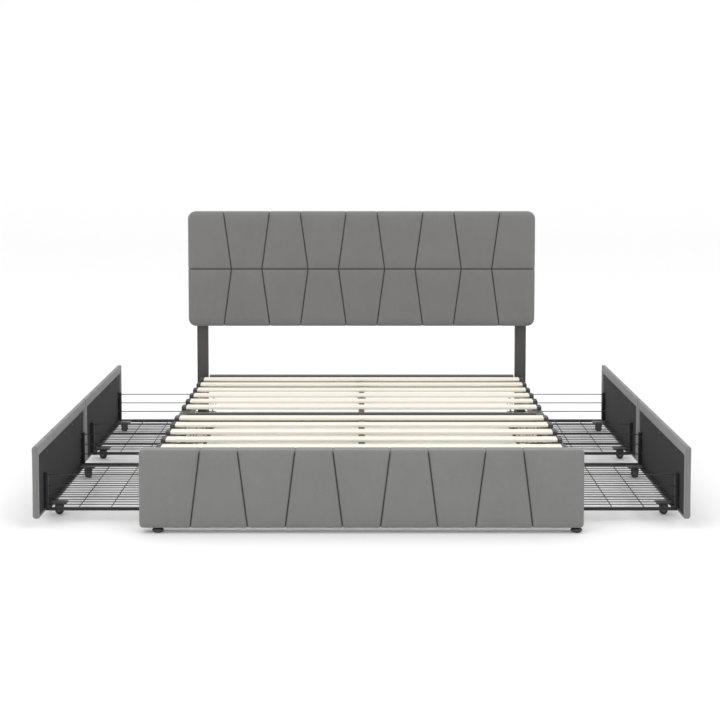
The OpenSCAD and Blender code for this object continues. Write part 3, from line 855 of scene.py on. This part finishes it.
def facing_the_foot(face):
    """Stands a board across the bed with its front at y = face: (u, v, w) goes to (u, face + w, v)."""
    return lambda p: np.stack([p[:, 0], face + p[:, 2], p[:, 1]], 1)


def lined(node):
    """Gives a CAD board its dark lining."""
    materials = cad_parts[node].data.materials
    materials.clear()
    materials.append(dark_lining())


class BED_OT_headboard(bpy.types.Operator):
    """Headboard cushion with a level seam and knee-shaped upright seams, and its board's lining"""

    bl_idname = "bed.headboard"
    bl_label = "Headboard"

    def execute(self, context):
        look = context.scene.bed_upholstery
        low, high = corners("headboard_cushion")
        v0, v1 = low[2], high[2]
        lines = upright_seams(BOARD_CHANNELS, look.head_pitch, look.lean + KNEE_EXTRA, chevron_line, v0, v1)
        board = PaddedBoard(high[0], v0, v1, high[1] - low[1], corner=0.036, edge=0.020, lines=lines,
                            levels=[(v0 + v1) / 2], lip=(0.034, 0.034, 0.034), pocket=0.012)
        padded_piece("headboard_pad", board, facing_the_foot(low[1]), "headboard_cushion", "bed_frame")
        lined("headboard_backing")
        return {"FINISHED"}


class BED_OT_footboard(bpy.types.Operator):
    """Footboard cushion with leaning seams, and its inner board's lining"""

    bl_idname = "bed.footboard"
    bl_label = "Footboard"

    def execute(self, context):
        look = context.scene.bed_upholstery
        low, high = corners("footboard_cushion")
        v0, v1 = low[2], high[2]
        lines = upright_seams(BOARD_CHANNELS, look.foot_pitch, look.lean, leaning_line, v0, v1)
        board = PaddedBoard(high[0], v0, v1, high[1] - low[1], corner=0.014, edge=0.012, lines=lines,
                            levels=[], lip=(0.014, 0.014, 0.014), pocket=0.044)
        padded_piece("footboard_pad", board, facing_the_foot(low[1]), "footboard_cushion", "bed_frame")
        lined("footboard_backing")
        return {"FINISHED"}


class BED_OT_drawer_fronts(bpy.types.Operator):
    """The four padded drawer fronts, each with its lined inner board"""

    bl_idname = "bed.drawer_fronts"
    bl_label = "Drawer fronts"

    def execute(self, context):
        look = context.scene.bed_upholstery
        low, high = corners("right_foot_front")
        half = (high[1] - low[1]) / 2
        v0, v1, thick = low[2], high[2], high[0] - low[0]
        pitch = 2 * half / FRONT_CHANNELS
        lines = upright_seams(FRONT_CHANNELS, pitch, look.lean, leaning_line, v0, v1)
        board = PaddedBoard(half, v0, v1, thick, corner=0.012, edge=0.011, lines=lines,
                            levels=[], lip=(0.035, 0.001, 0.039), pocket=0.012)
        moves = None
        for drawer in DRAWERS:
            node_low, node_high = corners(f"{drawer}_front")
            middle = (node_low[1] + node_high[1]) / 2
            side = 1 if drawer.startswith("right") else -1
            outer = node_high[0] if side > 0 else node_low[0]
            moves = padded_piece(
                f"{drawer}_front_pad", board,
                lambda p, s=side, x=outer, y=middle: np.stack([x - s * p[:, 2], y + p[:, 0], p[:, 1]], 1),
                f"{drawer}_front", f"drawer_{drawer}", moves)
            lined(f"{drawer}_board")
        return {"FINISHED"}


# ---------- steel frame ----------


def straight(low, high, along, radius, steps=4):
    """A rounded bar that fills the box from low to high, its length along one axis."""
    low, high = np.asarray(low, float), np.asarray(high, float)
    a, b = [i for i in range(3) if i != along]
    middle = (low + high) / 2
    start, stop = middle.copy(), middle.copy()
    start[along], stop[along] = low[along], high[along]
    up = np.zeros(3)
    up[b] = 1.0
    size = high - low
    profile = round_rect_profile(size[a], size[b], radius, steps)
    return sweep(profile, [start, stop], up)


def square_post(x, y, half, bottom, top, radius):
    """A rounded upright bar of square section about x, y."""
    return straight((x - half, y - half, bottom), (x + half, y + half, top), Z, radius)


def finish_piece(piece, nodes, body):
    """Lets a piece stand for CAD nodes, which it hides, and ride on their body."""
    if nodes:
        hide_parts(*nodes)
    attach(piece, body)
    return piece


class BED_OT_steel_frame(bpy.types.Operator):
    """Posts, rails and legs as rounded tube, with plastic ends on the posts and the legs"""

    bl_idname = "bed.steel_frame"
    bl_label = "Steel frame"

    def execute(self, context):
        coat = frame_coat()
        for node in ("headboard_post_left", "headboard_post_right"):
            low, high = corners(node)
            tube = straight(low + (0, 0, 0.003), high - (0, 0, 0.004), Z, POST_ROUND)
            piece = make_piece(node + "_tube", *tube, coat)
            round_edges(piece, 0.0008)
            finish_piece(piece, [node], "bed_frame")
            inset = np.array([PLUG_INSET, PLUG_INSET, 0.0])
            lower_top = (high[0], high[1], low[2] + 0.0035) - inset
            upper_bottom = (low[0], low[1], high[2] - 0.0045) + inset
            ends = [straight(low + inset, lower_top, Z, POST_ROUND),
                    straight(upper_bottom, high - inset, Z, POST_ROUND)]
            plug = make_piece(node + "_plugs", *join_parts(ends), black_plastic())
            round_edges(plug, 0.001)
            finish_piece(plug, [], "bed_frame")
        for node, along in (("side_rail_left", Y), ("side_rail_right", Y),
                            ("head_rail", X), ("cross_rail", X)):
            low, high = corners(node)
            piece = make_piece(node + "_tube", *straight(low, high, along, RAIL_ROUND), coat)
            finish_piece(piece, [node], "bed_frame")
        low, high = corners("centre_rail")
        cross_low, cross_high = corners("cross_rail")
        halves = [straight(low, (high[0], cross_low[1], high[2]), Y, 0.0025),
                  straight((low[0], cross_high[1], low[2]), high, Y, 0.0025)]
        finish_piece(make_piece("centre_rail_tubes", *join_parts(halves), coat),
                     ["centre_rail"], "bed_frame")
        self.legs(coat)
        return {"FINISHED"}

    def legs(self, coat):
        """Square legs under the rails, each with a plastic foot."""
        low, high = corners("support_legs")
        side_low, _ = corners("side_rail_right")
        rail_low, _ = corners("centre_rail")
        cross_low, cross_high = corners("cross_rail")
        half, middle = LEG_WIDTH / 2, (cross_low[1] + cross_high[1]) / 2
        places = [(0.0, low[1] + half, rail_low[2]), (0.0, middle, cross_low[2]),
                  (0.0, high[1] - half, rail_low[2]),
                  (low[0] + half, middle, side_low[2]), (high[0] - half, middle, side_low[2])]
        tubes = [square_post(x, y, half, 0.004, top, RAIL_ROUND) for x, y, top in places]
        plates = [square_post(x, y, half + 0.006, top - 0.003, top, RAIL_ROUND) for x, y, top in places[:3]]
        piece = make_piece("support_leg_tubes", *join_parts(tubes + plates), coat)
        finish_piece(piece, ["support_legs"], "bed_frame")
        feet = [square_post(x, y, half + 0.001, 0.0, 0.012, 0.004) for x, y, _ in places]
        shoes = make_piece("support_leg_feet", *join_parts(feet), black_plastic())
        round_edges(shoes, 0.0015)
        finish_piece(shoes, [], "bed_frame")


class BED_OT_slats(bpy.types.Operator):
    """Wooden slats with rounded long edges, and the moulded caps on their ends"""

    bl_idname = "bed.slats"
    bl_label = "Slats and caps"

    def execute(self, context):
        edge = context.scene.bed_slats.edge
        names = sorted(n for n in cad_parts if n.startswith("slat_") and n != "slat_caps")
        centres = []
        for name in names:
            low, high = corners(name)
            piece = make_piece(name + "_board", *straight(low, high, X, edge), slat_wood())
            finish_piece(piece, [name], "bed_frame")
            centres.append((low[1] + high[1]) / 2)
        low, high = corners("slat_caps")
        slat_low, slat_high = corners(names[0])
        self.caps(centres, high[0], low[2], high[2], slat_high[0] - CAP_FOOT,
                  (slat_high[1] - slat_low[1]) / 2)
        return {"FINISHED"}

    def caps(self, centres, tip, z0, z1, inner, half):
        """Each cap is a round-shouldered block past the slat's tip, carried up in four layers that
        draw in towards the top, with a thin foot reaching under the slat."""
        edge, shoulder = tip - CAP_BLOCK, 0.012
        a = np.linspace(-np.pi / 2, np.pi / 2, 9)
        outer = np.stack([tip - shoulder + shoulder * np.cos(a),
                          np.sign(a) * (half + CAP_GROW - shoulder) + shoulder * np.sin(a)], 1)
        plan = np.vstack([[edge, -half - CAP_GROW], outer, [edge, half + CAP_GROW]])
        draw_full, draw_part = 0.0022, 0.0007
        layers = [(z0, 0.0), (z1 - draw_full, 0.0), (z1 - draw_part, draw_part), (z1, draw_full)]
        middle = np.array([(edge + tip) / 2, 0.0])
        rings = []
        for z, draw in layers:
            pulled = plan + np.clip(middle - plan, -draw, draw)
            rings.append(np.column_stack([pulled, np.full(len(plan), z)]))
        points = np.vstack(rings)
        n = len(plan)
        faces = [tuple(f) for f in grid_quads(len(layers), n, around=True)]
        faces += [tuple(range(n))[::-1], tuple(range((len(layers) - 1) * n, len(layers) * n))]
        base = straight((inner, -half - 0.0005, z0), (edge + 0.001, half + 0.0005, z0 + 0.0018), X, 0.0007, 3)
        one = join_parts([(points, faces), base])
        parts = []
        for y in centres:
            for side in (1, -1):
                parts.append((one[0] * (side, 1, 1) + (0, y, 0), one[1]))
        piece = make_piece("slat_end_caps", *join_parts(parts), black_plastic())
        finish_piece(piece, ["slat_caps"], "bed_frame")


# ---------- rolling drawers ----------


def open_loop(inner, outer, y0, y1, z):
    """The corners of a level U that is open towards the drawer front."""
    return [(outer, y0, z), (inner, y0, z), (inner, y1, z), (outer, y1, z)]


class BED_OT_baskets(bpy.types.Operator):
    """Wire baskets: a square-bar floor frame, a mesh of wires, three bent hoops and fixing strips"""

    bl_idname = "bed.baskets"
    bl_label = "Wire baskets"

    def execute(self, context):
        steel = context.scene.bed_steel
        for drawer in DRAWERS:
            low, high = corners(f"{drawer}_basket")
            side = 1 if drawer.startswith("right") else -1
            board_low, board_high = corners(f"{drawer}_board")
            front_low, front_high = corners(f"{drawer}_front")
            face = board_low[0] if side > 0 else -board_high[0]
            rim = (front_low[0] if side > 0 else -front_high[0]) - 0.0005
            inner = low[0] if side > 0 else -high[0]
            y0, y1 = low[1] + 0.002, high[1] - 0.002
            points, faces = join_parts(self.wirework(steel, inner, rim, face, y0, y1, low[2]))
            piece = make_piece(f"{drawer}_wirework", points * (side, 1, 1), faces, wire_coat())
            finish_piece(piece, [f"{drawer}_basket"], f"drawer_{drawer}")
            points, faces = join_parts(self.screws(face - 0.0022, y0, y1))
            heads = make_piece(f"{drawer}_board_screws", points * (side, 1, 1), faces, bolt_steel())
            finish_piece(heads, [], f"drawer_{drawer}")
        return {"FINISHED"}

    def wirework(self, steel, x0, x1, face, y0, y1, z0):
        """The basket's parts on the right-hand side of the bed; the left is its mirror image."""
        thin, thick = steel.floor_wire, steel.hoop
        inner, near, far = x0 + BAR / 2, y0 + BAR / 2, y1 - BAR / 2
        rim = bent_path(open_loop(inner, x1, near, far, z0 + BAR / 2), BAR_BEND)
        parts = [sweep(round_rect_profile(BAR, BAR, BAR_ROUND, 3), rim),
                 straight((x1 - BAR, y0 + BAR, z0), (x1, y1 - BAR, z0 + BAR), Y, BAR_ROUND, 3)]
        gaps = steel.floor_gaps
        top = z0 + BAR + thin / 2 - WELD
        for y in y0 + BAR / 2 + (y1 - y0 - BAR) / gaps * np.arange(1, gaps):
            parts.append(sweep(circle_profile(thin / 2, 6), [(x0 + 0.003, y, top), (x1 - 0.003, y, top)]))
        under = top - thin + 0.0004
        for x in x0 + np.array(CROSS_WIRES):
            ends = [(x, y0 + BAR - 0.002, under), (x, y1 - BAR + 0.002, under)]
            parts.append(sweep(circle_profile(thin / 2 + 0.00025, 6), ends))
        for z in HOOP_HEIGHTS:
            hoop = bent_path(open_loop(inner, x1 + 0.004, near, far, z), HOOP_BEND)
            parts.append(sweep(circle_profile(thick / 2, 8), hoop))
        for y, inside in ((near, 0.9 * thick), (far, -0.9 * thick)):
            x = x0 + 0.022
            corner_wire = [(x, y + inside, z0 + BAR - 0.001), (x, y + inside, 0.1695)]
            parts.append(sweep(circle_profile(thick / 2 - 0.0003, 8), corner_wire, (1, 0, 0)))
            strip_low, strip_high = (x1 - 0.009, y - 0.006, z0 + BAR - 0.001), (face, y + 0.006, STRIP_TOP)
            parts.append(straight(strip_low, strip_high, Z, 0.0012, 3))
        return parts

    def screws(self, x, y0, y1):
        """Pan heads on the fixing strips and along the board: a low dome turned about X."""
        dome = [(0.0001, -0.0024), (0.0022, -0.0022), (0.0038, -0.0014), (0.0043, 0.0), (0.0043, 0.0016)]
        places = [(y, z) for y in (y0 + 0.024, y1 - 0.024) for z in (0.09, 0.16)]
        places += [(y, 0.25) for y in np.linspace(y0 + 0.05, y1 - 0.05, 5)]
        return [turned_solid(dome, (x, y, z), (1, 0, 0), 16) for y, z in places]


def caster_places(drawer):
    """Wheel centres of a drawer's four casters, from the CAD wheels."""
    boxes = [corners(f"{drawer}_wheel_{n}") for n in (1, 2, 3, 4)]
    return [(low + high) / 2 for low, high in boxes]


class BED_OT_casters(bpy.types.Operator):
    """Rigid casters: stamped plate with bolts, swaged crown, folded cheeks, axle heads and moulded wheel"""

    bl_idname = "bed.casters"
    bl_label = "Casters"

    def execute(self, context):
        for drawer in DRAWERS:
            _, high = corners(f"{drawer}_casters")
            body = f"drawer_{drawer}"
            forks, bolts = [], []
            for n, centre in enumerate(caster_places(drawer), 1):
                fork, bolt = self.fork(centre, high[2])
                forks += fork
                bolts += bolt
                self.wheel(centre, f"{drawer}_wheel_{n}")
            piece = make_piece(f"{drawer}_caster_forks", *join_parts(forks), caster_steel())
            round_edges(piece, 0.0006)
            finish_piece(piece, [f"{drawer}_casters"], body)
            heads = make_piece(f"{drawer}_caster_bolts", *join_parts(bolts), bolt_steel())
            finish_piece(heads, [], body)
        return {"FINISHED"}

    def fork(self, centre, top):
        """Plate, crown ring and the two tapering cheeks, whose side outline is a trapezium with a
        round tip; and the heads of the axle and of the plate's bolts."""
        x, y, z = centre
        base = z + 0.018
        plate_x, plate_y = PLATE_HALF
        plate = straight((x - plate_x, y - plate_y, top - 0.003), (x + plate_x, y + plate_y, top), Z, 0.005)
        ring = [(0.0145, 0.0), (0.0152, 0.0015), (0.0145, 0.0040), (0.0125, 0.0065), (0.0125, 0.0095)]
        crown = turned_solid(ring, (x, y, base + 0.002), (0, 0, 1), 28)
        bridge = straight((x - 0.016, y - CHEEK_OUTER, base), (x + 0.016, y + CHEEK_OUTER, base + 0.0027),
                          Y, 0.001, 3)
        parts = [plate, crown, bridge]
        a = np.linspace(-np.pi * 0.9, -np.pi * 0.1, 9)
        tip = np.stack([x + CHEEK_TIP * np.cos(a), z - 0.0005 + CHEEK_TIP * np.sin(a)], 1)
        outline = np.vstack([tip, [x + 0.0155, base - 0.006], [x + 0.016, base + 0.002],
                             [x - 0.016, base + 0.002], [x - 0.0155, base - 0.006]])
        n = len(outline)
        faces = [tuple(f) for f in grid_quads(2, n, around=True)]
        faces += [tuple(range(n))[::-1], tuple(range(n, 2 * n))]
        for s in (-1, 1):
            rings = [np.column_stack([outline[:, 0], np.full(n, y + s * reach), outline[:, 1]])
                     for reach in (CHEEK_INNER, CHEEK_OUTER)]
            parts.append((np.vstack(rings), faces))
        axle_end = [(0.0001, 0.0021), (0.0030, 0.0019), (0.0042, 0.0008), (0.0042, -0.0003)]
        heads = [turned_solid(axle_end, (x, y + s * CHEEK_OUTER, z), (0, s, 0), 18) for s in (-1, 1)]
        bolt_end = [(0.0034, -0.0026), (0.0036, -0.0022), (0.0036, 0.0)]
        bolt_x, bolt_y = PLATE_BOLTS
        heads += [turned_solid(bolt_end, (x + dx, y + dy, top - 0.0028), (0, 0, 1), 6)
                  for dx in (-bolt_x, bolt_x) for dy in (-bolt_y, bolt_y)]
        return parts, heads

    def wheel(self, centre, node):
        """A moulded wheel turned from its half section: bore, hub boss, dished web, rim, crowned tread."""
        w = WHEEL_HALF
        half = [(0.00315, w), (0.0066, w), (0.0072, w - 0.0006), (0.0078, w - 0.0026), (0.0112, w - 0.0030),
                (0.0119, w - 0.0008), (0.0126, w - 0.0001), (0.0140, w - 0.0002), (0.0152, w - 0.0012),
                (0.0158, w - 0.0028), (0.0160, w - 0.0050), (0.0160, 0.0)]
        section = half + [(r, -a) for r, a in half[-2::-1]] + [half[0]]
        points, faces = turned(section, centre, (0, 1, 0), 36)
        piece = make_piece(node + "_tread", points, faces, wheel_plastic(), smooth_angle=50, weld=1e-6)
        finish_piece(piece, [node], node)


class BED_OT_small_parts(bpy.types.Operator):
    """Levelling feet and frame bolts"""

    bl_idname = "bed.small_parts"
    bl_label = "Levelling feet and bolts"

    def execute(self, context):
        for side in ("left", "right"):
            node = f"levelling_foot_{side}"
            low, high = corners(node)
            x, y = (low[:2] + high[:2]) / 2
            section = [(0.0001, 0.0), (0.0138, 0.0), (0.0150, 0.0008), (0.0150, 0.0022), (0.0142, 0.0034),
                       (0.0190, 0.0052), (0.0212, 0.0066), (0.0215, 0.0085), (0.0211, 0.0104),
                       (0.0196, 0.0128), (0.0160, 0.0152), (0.0125, 0.0170), (0.0112, 0.0176),
                       (0.0001, 0.0176)]
            foot = turned(section, (x, y, 0), (0, 0, 1), 48)
            flats = [(0.0078, 0.0), (0.0084, 0.0005), (0.0084, 0.0020), (0.0080, 0.0023)]
            nut = turned_solid(flats, (x, y, 0.0172), (0, 0, 1), 6)
            piece = make_piece(node + "_pad", *join_parts([foot, nut]), black_plastic(), weld=1e-6)
            finish_piece(piece, [node], node)
            ridge = 0.00035 * np.abs(np.linspace(-8, 8, 65) % 1 - 0.5)
            thread = [(0.0045 + r, z) for r, z in zip(ridge, np.linspace(0.018, 0.062, 65))]
            stem = make_piece(node + "_stem", *turned_solid(thread, (x, y, 0), (0, 0, 1), 16), bolt_steel())
            finish_piece(stem, [], node)
        _, high = corners("frame_bolts")
        dome = [(0.0001, -0.0012), (0.0028, -0.0012), (0.0030, -0.0002), (0.0062, 0.0), (0.0078, -0.0009),
                (0.0080, -0.0022)]
        heads = [turned_solid(dome, (s * BOLT_X, high[1], z), (0, 1, 0), 24)
                 for s in (-1, 1) for z in BOLT_HEIGHTS]
        piece = make_piece("frame_bolt_heads", *join_parts(heads), bolt_steel())
        finish_piece(piece, ["frame_bolts"], "bed_frame")
        return {"FINISHED"}


# ---------- studio ----------


class BED_OT_studio(bpy.types.Operator):
    """Camera, pale sweep of floor and wall, and soft lights"""

    bl_idname = "bed.studio"
    bl_label = "Studio"

    def execute(self, context):
        setup = context.scene.bed_studio
        self.camera(setup)
        self.sweep_floor(setup)
        self.lights()
        context.scene.view_settings.view_transform = "Standard"
        return {"FINISHED"}

    def camera(self, setup):
        data = bpy.data.cameras.new("bed_camera")
        data.lens, data.sensor_width = setup.lens, 36.0
        data.clip_end = 100.0
        data.shift_x, data.shift_y = CAMERA_SHIFT
        camera = bpy.data.objects.new("bed_camera", data)
        camera.location = (0.0, CAD_LOW[1] - setup.distance, setup.height)
        camera.rotation_euler = (math.pi / 2 - setup.tilt, 0.0, 0.0)
        bpy.context.scene.collection.objects.link(camera)
        bpy.context.scene.camera = camera

    def sweep_floor(self, setup):
        """A floor that curves up into a wall far behind: z = 0 up to a line, then a quarter circle."""
        x = np.linspace(-FLOOR_HALF, FLOOR_HALF, 9)
        a = np.linspace(0, np.pi / 2, 13)
        y = np.concatenate([np.linspace(FLOOR_FRONT, WALL_START, 9), WALL_START + WALL_BEND * np.sin(a[1:]),
                            [WALL_START + WALL_BEND]])
        z = np.concatenate([np.zeros(9), WALL_BEND * (1 - np.cos(a[1:])), [WALL_TOP]])
        points = np.stack([np.repeat(x[None], len(y), 0), np.repeat(y[:, None], len(x), 1),
                           np.repeat(z[:, None], len(x), 1)], -1).reshape(-1, 3)
        material = bpy.data.materials.new("studio_floor")
        material.use_nodes = True
        shader = material.node_tree.nodes["Principled BSDF"]
        shader.inputs["Base Color"].default_value = (*setup.floor, 1)
        shader.inputs["Roughness"].default_value = 0.9
        shader.inputs["Specular IOR Level"].default_value = 0.0
        mesh = bpy.data.meshes.new("studio_floor")
        mesh.from_pydata(points.tolist(), [], grid_quads(len(y), len(x)).tolist())
        mesh.shade_smooth()
        floor = bpy.data.objects.new("studio_floor", mesh)
        mesh.materials.append(material)
        bpy.context.scene.collection.objects.link(floor)
        floor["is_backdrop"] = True

    def lights(self):
        world = bpy.data.worlds.new("soft_white")
        bpy.context.scene.world = world
        world.use_nodes = True
        background = world.node_tree.nodes["Background"]
        background.inputs["Color"].default_value = (1, 1, 1, 1)
        background.inputs["Strength"].default_value = WORLD_STRENGTH
        for name, place, target, size, power in LAMPS:
            data = bpy.data.lights.new(name, "AREA")
            data.shape, data.size, data.energy = "DISK", size, power
            lamp = bpy.data.objects.new(name, data)
            place, target = np.array(place), np.array(target)
            lamp.location = place
            lamp.rotation_euler = Vector(target - place).to_track_quat("-Z", "Y").to_euler()
            bpy.context.scene.collection.objects.link(lamp)


class BED_PT_panel(bpy.types.Panel):
    """Lists the bed's pieces and their sizes and colours in the sidebar"""

    bl_idname = "BED_PT_panel"
    bl_label = "Storage bed"
    bl_space_type = "VIEW_3D"
    bl_region_type = "UI"
    bl_category = "Bed"

    def draw(self, context):
        scene = context.scene
        for group in (scene.bed_upholstery, scene.bed_steel, scene.bed_slats, scene.bed_studio):
            box = self.layout.box()
            for name in group.__annotations__:
                box.prop(group, name)
        for operator in OPERATORS:
            self.layout.operator(operator.bl_idname)


LOOKS = {
    "bed_upholstery": UpholsteryLook,
    "bed_steel": SteelLook,
    "bed_slats": SlatLook,
    "bed_studio": StudioSetup,
}
OPERATORS = (BED_OT_studio, BED_OT_headboard, BED_OT_footboard, BED_OT_drawer_fronts, BED_OT_steel_frame,
             BED_OT_slats, BED_OT_baskets, BED_OT_casters, BED_OT_small_parts)


def register():
    for cls in (*LOOKS.values(), *OPERATORS, BED_PT_panel):
        bpy.utils.register_class(cls)
    for name, cls in LOOKS.items():
        setattr(bpy.types.Scene, name, bpy.props.PointerProperty(type=cls))


def unregister():
    for name in LOOKS:
        delattr(bpy.types.Scene, name)
    for cls in (BED_PT_panel, *reversed(OPERATORS), *reversed(tuple(LOOKS.values()))):
        bpy.utils.unregister_class(cls)


def main():
    register()
    bpy.ops.bed.studio()
    bpy.ops.bed.headboard()
    bpy.ops.bed.footboard()
    bpy.ops.bed.drawer_fronts()
    bpy.ops.bed.steel_frame()
    bpy.ops.bed.slats()
    bpy.ops.bed.baskets()
    bpy.ops.bed.casters()
    bpy.ops.bed.small_parts()


if __name__ == "__main__":
    main()
